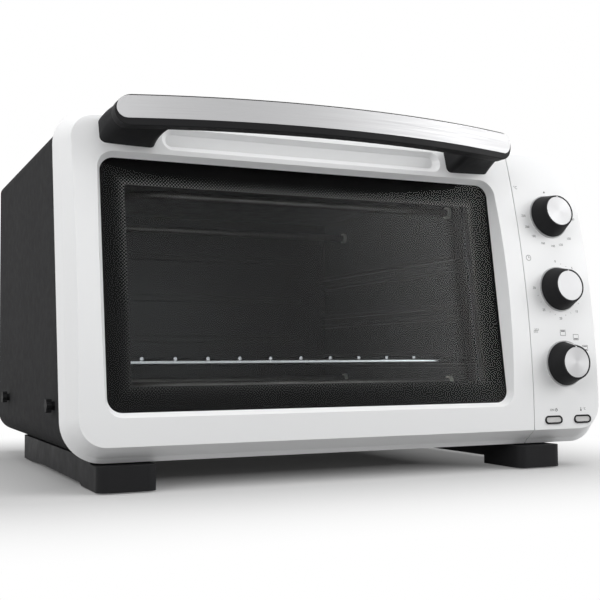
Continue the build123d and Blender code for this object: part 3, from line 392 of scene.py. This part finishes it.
def print_piece(name, outlines):
    """Lay a drawing on the crowned face of the control panel."""
    points, faces = [], []
    for outline in outlines:
        faces.append(tuple(range(len(points), len(points) + len(outline))))
        points += [on_face(x * MM, v * MM) for x, v in outline]
    return sheet_piece(name, points, faces, ink, "housing")


def around(knob, angle, radius):
    """A spot round a knob, clockwise from straight up, in millimetres."""
    turn = radians(angle)
    return KNOB_X / MM + radius * sin(turn), KNOB_V[knob] / MM + radius * cos(turn)


def numbers(knob, radius, spots):
    """Numbers round a knob, from pairs of angle and text."""
    return [outline for angle, text in spots for outline in words(text, *around(knob, angle, radius), TEXT)]


degrees = (
    (92, "80"), (136, "100"), (161, "120"), (180, "140"),
    (203, "160"), (226, "180"), (247, "200"), (269, "220"),
)
dial = dot(*around("thermostat", 0, 22.4), 0.8)
dial += words("°C", *around("thermostat", 310, 38.5), 2.6)
dial += numbers("thermostat", 26, degrees)
print_piece("thermostat_print", dial)

minutes = ((42, "5"), (88, "10"), (139, "15"), (182, "20"), (224, "25"), (271, "30"))
dial = words("0", *around("timer", 0, 24), TEXT)
dial += clock(*around("timer", 314, 37.7), 2.3)
dial += numbers("timer", 25, minutes)
for angle in (14, 28, 57, 72, 105, 122, 153, 168, 196, 210, 240, 255):
    dial += dot(*around("timer", angle, 22.6), 0.3)
print_piece("timer_print", dial)

# heat from above, from below, and from both; then three heat waves
dial = oven_sign(*around("function", 0, 25.5), (1.4, 0.9))
dial += oven_sign(*around("function", 31, 25.5), (-1.4, 0.9))
dial += oven_sign(*around("function", 60, 25.5), (1.4, 0.6), (-1.4, 0.6))
x, v = around("function", 315, 38.4)
for step in (-1.5, 0.0, 1.5):
    dial += arc(x + step, v - 0.8, 0.8, LINE, 180, 360, 8)
    dial += arc(x + step, v + 0.8, 0.8, LINE, 0, 180, 8)
print_piece("function_print", dial)

# over the lamps: power with a clock, and a thermometer with the degree sign
dial = words("ON", 170.0, -102.4, LAMP_TEXT) + clock(174.3, -102.4, 1.1)
dial += words("°C", 203.2, -102.2, LAMP_TEXT)
dial += bar(199.6, -102.6, 199.6, -100.8, 0.45) + dot(199.6, -103.2, 0.75)
print_piece("lamp_print", dial)

# ---------------------------------------------------------------- knob marks

MARK_HALF = 0.0007              # half the line's width
MARK_START = 0.0012             # where it starts, in from the front's edge
MARK_FOOT = 0.002               # where it ends, over the knob's foot


def knob_mark(name):
    """A white line over a knob's rim and down its side, at the top."""
    v = KNOB_V[name]
    lean = LEAN + asin(v / CROWN_RADIUS)
    up = Vector((0, sin(lean), cos(lean)))
    out = Vector((0, -cos(lean), sin(lean)))
    centre = on_face(KNOB_X, v, 0.0)
    front = KNOB_LOW + KNOB_HEIGHT
    slope = (KNOB_BASE - KNOB_FRONT) / KNOB_HEIGHT
    route = [
        (KNOB_FRONT - MARK_START, front + PRINT_LIFT),
        (KNOB_FRONT - KNOB_RIM, front + PRINT_LIFT),
        (KNOB_FRONT - KNOB_RIM * 0.25 + PRINT_LIFT, front - KNOB_RIM * 0.2 + PRINT_LIFT),
        (KNOB_FRONT + KNOB_RIM * slope + PRINT_LIFT, front - KNOB_RIM),
        (KNOB_BASE - MARK_FOOT * slope + PRINT_LIFT, KNOB_LOW + MARK_FOOT),
    ]
    points = [
        centre + Vector((side * MARK_HALF, 0, 0)) + up * r + out * w
        for r, w in route
        for side in (-1, 1)
    ]
    faces = [(n, n + 1, n + 3, n + 2) for n in range(0, 2 * len(route) - 2, 2)]
    return sheet_piece(name + "_mark", points, faces, mark, name)


for name in KNOB_V:
    knob_mark(name)

# ---------------------------------------------------------------- studio

FLOOR_HALF = 9.0
FLOOR_PALE = (0.50, 0.50, 0.50)     # where the floor is seen
FLOOR_BOUNCE = (0.34, 0.34, 0.34)   # what it throws back on the oven
SHADE_X, SHADE_Y = 0.19, 0.14       # half sizes of the patch of painted shade under the oven
SHADE_LEFT = 0.05                   # the patch's middle, left of the oven's
SHADE_EDGE = (-0.05, 0.02)          # the patch's soft edge
PAINTED_SHADOW_LIFT = (0.015, 0.16)          # painted light: white glow mixed in to lift the floor's shadows, little within the patch and more outside it
FADE_EDGE = (-0.01, 0.27)           # the floor fades to plain white over this; nearer the oven it stays grey, painted shade around the oven

PALE_SIDE = Vector((0.62, 0.78, 0.0))
PALE_EDGE = (-0.75, 0.35)
PALE_LEVELS = (0.05, 1.0)

# name, place, what it faces, width and height, power, fade across its width
LAMPS = (
    ("left_box", (-1.5, -0.9, 0.85), (0, 0, 0.12), (1.4, 1.0), 16.5, None),
    ("top_box", (0.1, -0.2, 1.5), (0, 0, 0.1), (1.6, 1.2), 10, None),
    ("right_box", (1.2, -1.2, 0.75), (0.1, -0.1, 0.15), (1.5, 0.9), 15, ((0.0, 0.7), (0.0, 1.6))),
)

CAMERA_TURN = (24.496, 2.809, -0.378)   # heading, tilt and roll, in degrees
CAMERA_PLACE = (-0.36491, -0.85576, 0.08956)
CAMERA_LENS = 60.952
CAMERA_SHIFT = 0.01735


def studio_floor():
    """A floor that keeps the shadow, grey near the oven as painted shade, lifted by a painted white glow that
    is least under the oven, and fading to the white background.
    """
    size = FLOOR_HALF
    mesh = bpy.data.meshes.new("floor")
    corners = [(-size, -size, 0), (size, -size, 0), (size, size, 0), (-size, size, 0)]
    mesh.from_pydata(corners, [], [(0, 1, 2, 3)])
    floor = bpy.data.objects.new("floor", mesh)
    bpy.context.scene.collection.objects.link(floor)

    look = Look("floor", FLOOR_PALE, 0.9, Specular_IOR_Level=0.0)
    apart = look.node("ShaderNodeSeparateXYZ", {0: look.place}).outputs
    from_middle = look.math("ADD", apart["X"], SHADE_LEFT)
    past_x = look.math("SUBTRACT", look.math("ABSOLUTE", from_middle), SHADE_X)
    past_y = look.math("SUBTRACT", look.math("ABSOLUTE", apart["Y"]), SHADE_Y)
    away = look.past_box(past_x, past_y)
    # painted light and shade: a white glow lifts the floor's shadows, least under the oven
    painted_shadow_lift = look.spread(away, SHADE_EDGE, PAINTED_SHADOW_LIFT)
    far = look.spread(away, FADE_EDGE, curve="SMOOTHSTEP")
    seen = look.seen()
    look.feed(look.blend(seen, FLOOR_BOUNCE, FLOOR_PALE), "Base Color")
    glow = look.node("ShaderNodeEmission", {"Color": (1, 1, 1, 1), "Strength": 1.0})
    share = look.math("MULTIPLY", look.math("MAXIMUM", painted_shadow_lift, far), seen)
    shaders = {0: share, 1: look.shader.outputs[0], 2: glow.outputs[0]}
    mixed = look.node("ShaderNodeMixShader", shaders)
    look.tree.links.new(mixed.outputs[0], look.tree.nodes["Material Output"].inputs["Surface"])
    mesh.materials.append(look.material)


def studio_world():
    """White where it is seen; as light, white behind the oven and dark on the camera's side."""
    world = bpy.data.worlds.new("studio")
    bpy.context.scene.world = world
    world.use_nodes = True
    world.node_tree.nodes.clear()
    sky = Nodes(world.node_tree)
    facing = sky.along(sky.node("ShaderNodeTexCoord").outputs["Generated"], PALE_SIDE)
    level = sky.math("MAXIMUM", sky.spread(facing, PALE_EDGE, PALE_LEVELS), sky.seen())
    back = sky.node("ShaderNodeBackground", {"Color": (1, 1, 1, 1), "Strength": level})
    sky.node("ShaderNodeOutputWorld", {"Surface": back.outputs[0]})


def softbox(name, place, aim, size, power, fade):
    """A soft rectangular lamp at place that faces aim; fade dims it towards one side."""
    lamp = bpy.data.lights.new(name, "AREA")
    lamp.shape = "RECTANGLE"
    lamp.size, lamp.size_y = size
    lamp.energy = power
    if fade:
        lamp.use_nodes = True
        face = Nodes(lamp.node_tree)
        spot = face.node("ShaderNodeNewGeometry").outputs["Parametric"]
        across = face.node("ShaderNodeSeparateXYZ", {0: spot}).outputs["X"]
        level = face.spread(across, *fade, curve="SMOOTHSTEP")
        face.tree.links.new(level, face.tree.nodes["Emission"].inputs["Strength"])
    holder = bpy.data.objects.new(name, lamp)
    holder.location = place
    holder.rotation_euler = (Vector(aim) - Vector(place)).to_track_quat("-Z", "Y").to_euler()
    bpy.context.scene.collection.objects.link(holder)


def photo_camera():
    """The photograph's point of view: place, heading, tilt and lens from its outlines."""
    yaw, tilt, roll = (radians(angle) for angle in CAMERA_TURN)
    ahead = Vector((sin(yaw) * cos(tilt), cos(yaw) * cos(tilt), sin(tilt)))
    level = Vector((cos(yaw), -sin(yaw), 0))
    upward = level.cross(ahead)
    right = cos(roll) * level + sin(roll) * upward
    top = -sin(roll) * level + cos(roll) * upward
    camera = bpy.data.cameras.new("camera")
    camera.sensor_width = 36
    camera.lens = CAMERA_LENS
    camera.shift_y = CAMERA_SHIFT
    camera.clip_start = 0.05
    holder = bpy.data.objects.new("camera", camera)
    bpy.context.scene.collection.objects.link(holder)
    holder.matrix_world = Matrix((right, top, -ahead)).transposed().to_4x4()
    holder.location = CAMERA_PLACE
    bpy.context.scene.camera = holder


studio_floor()
studio_world()
for lamp in LAMPS:
    softbox(*lamp)
photo_camera()
bpy.context.scene.view_settings.view_transform = "Standard"
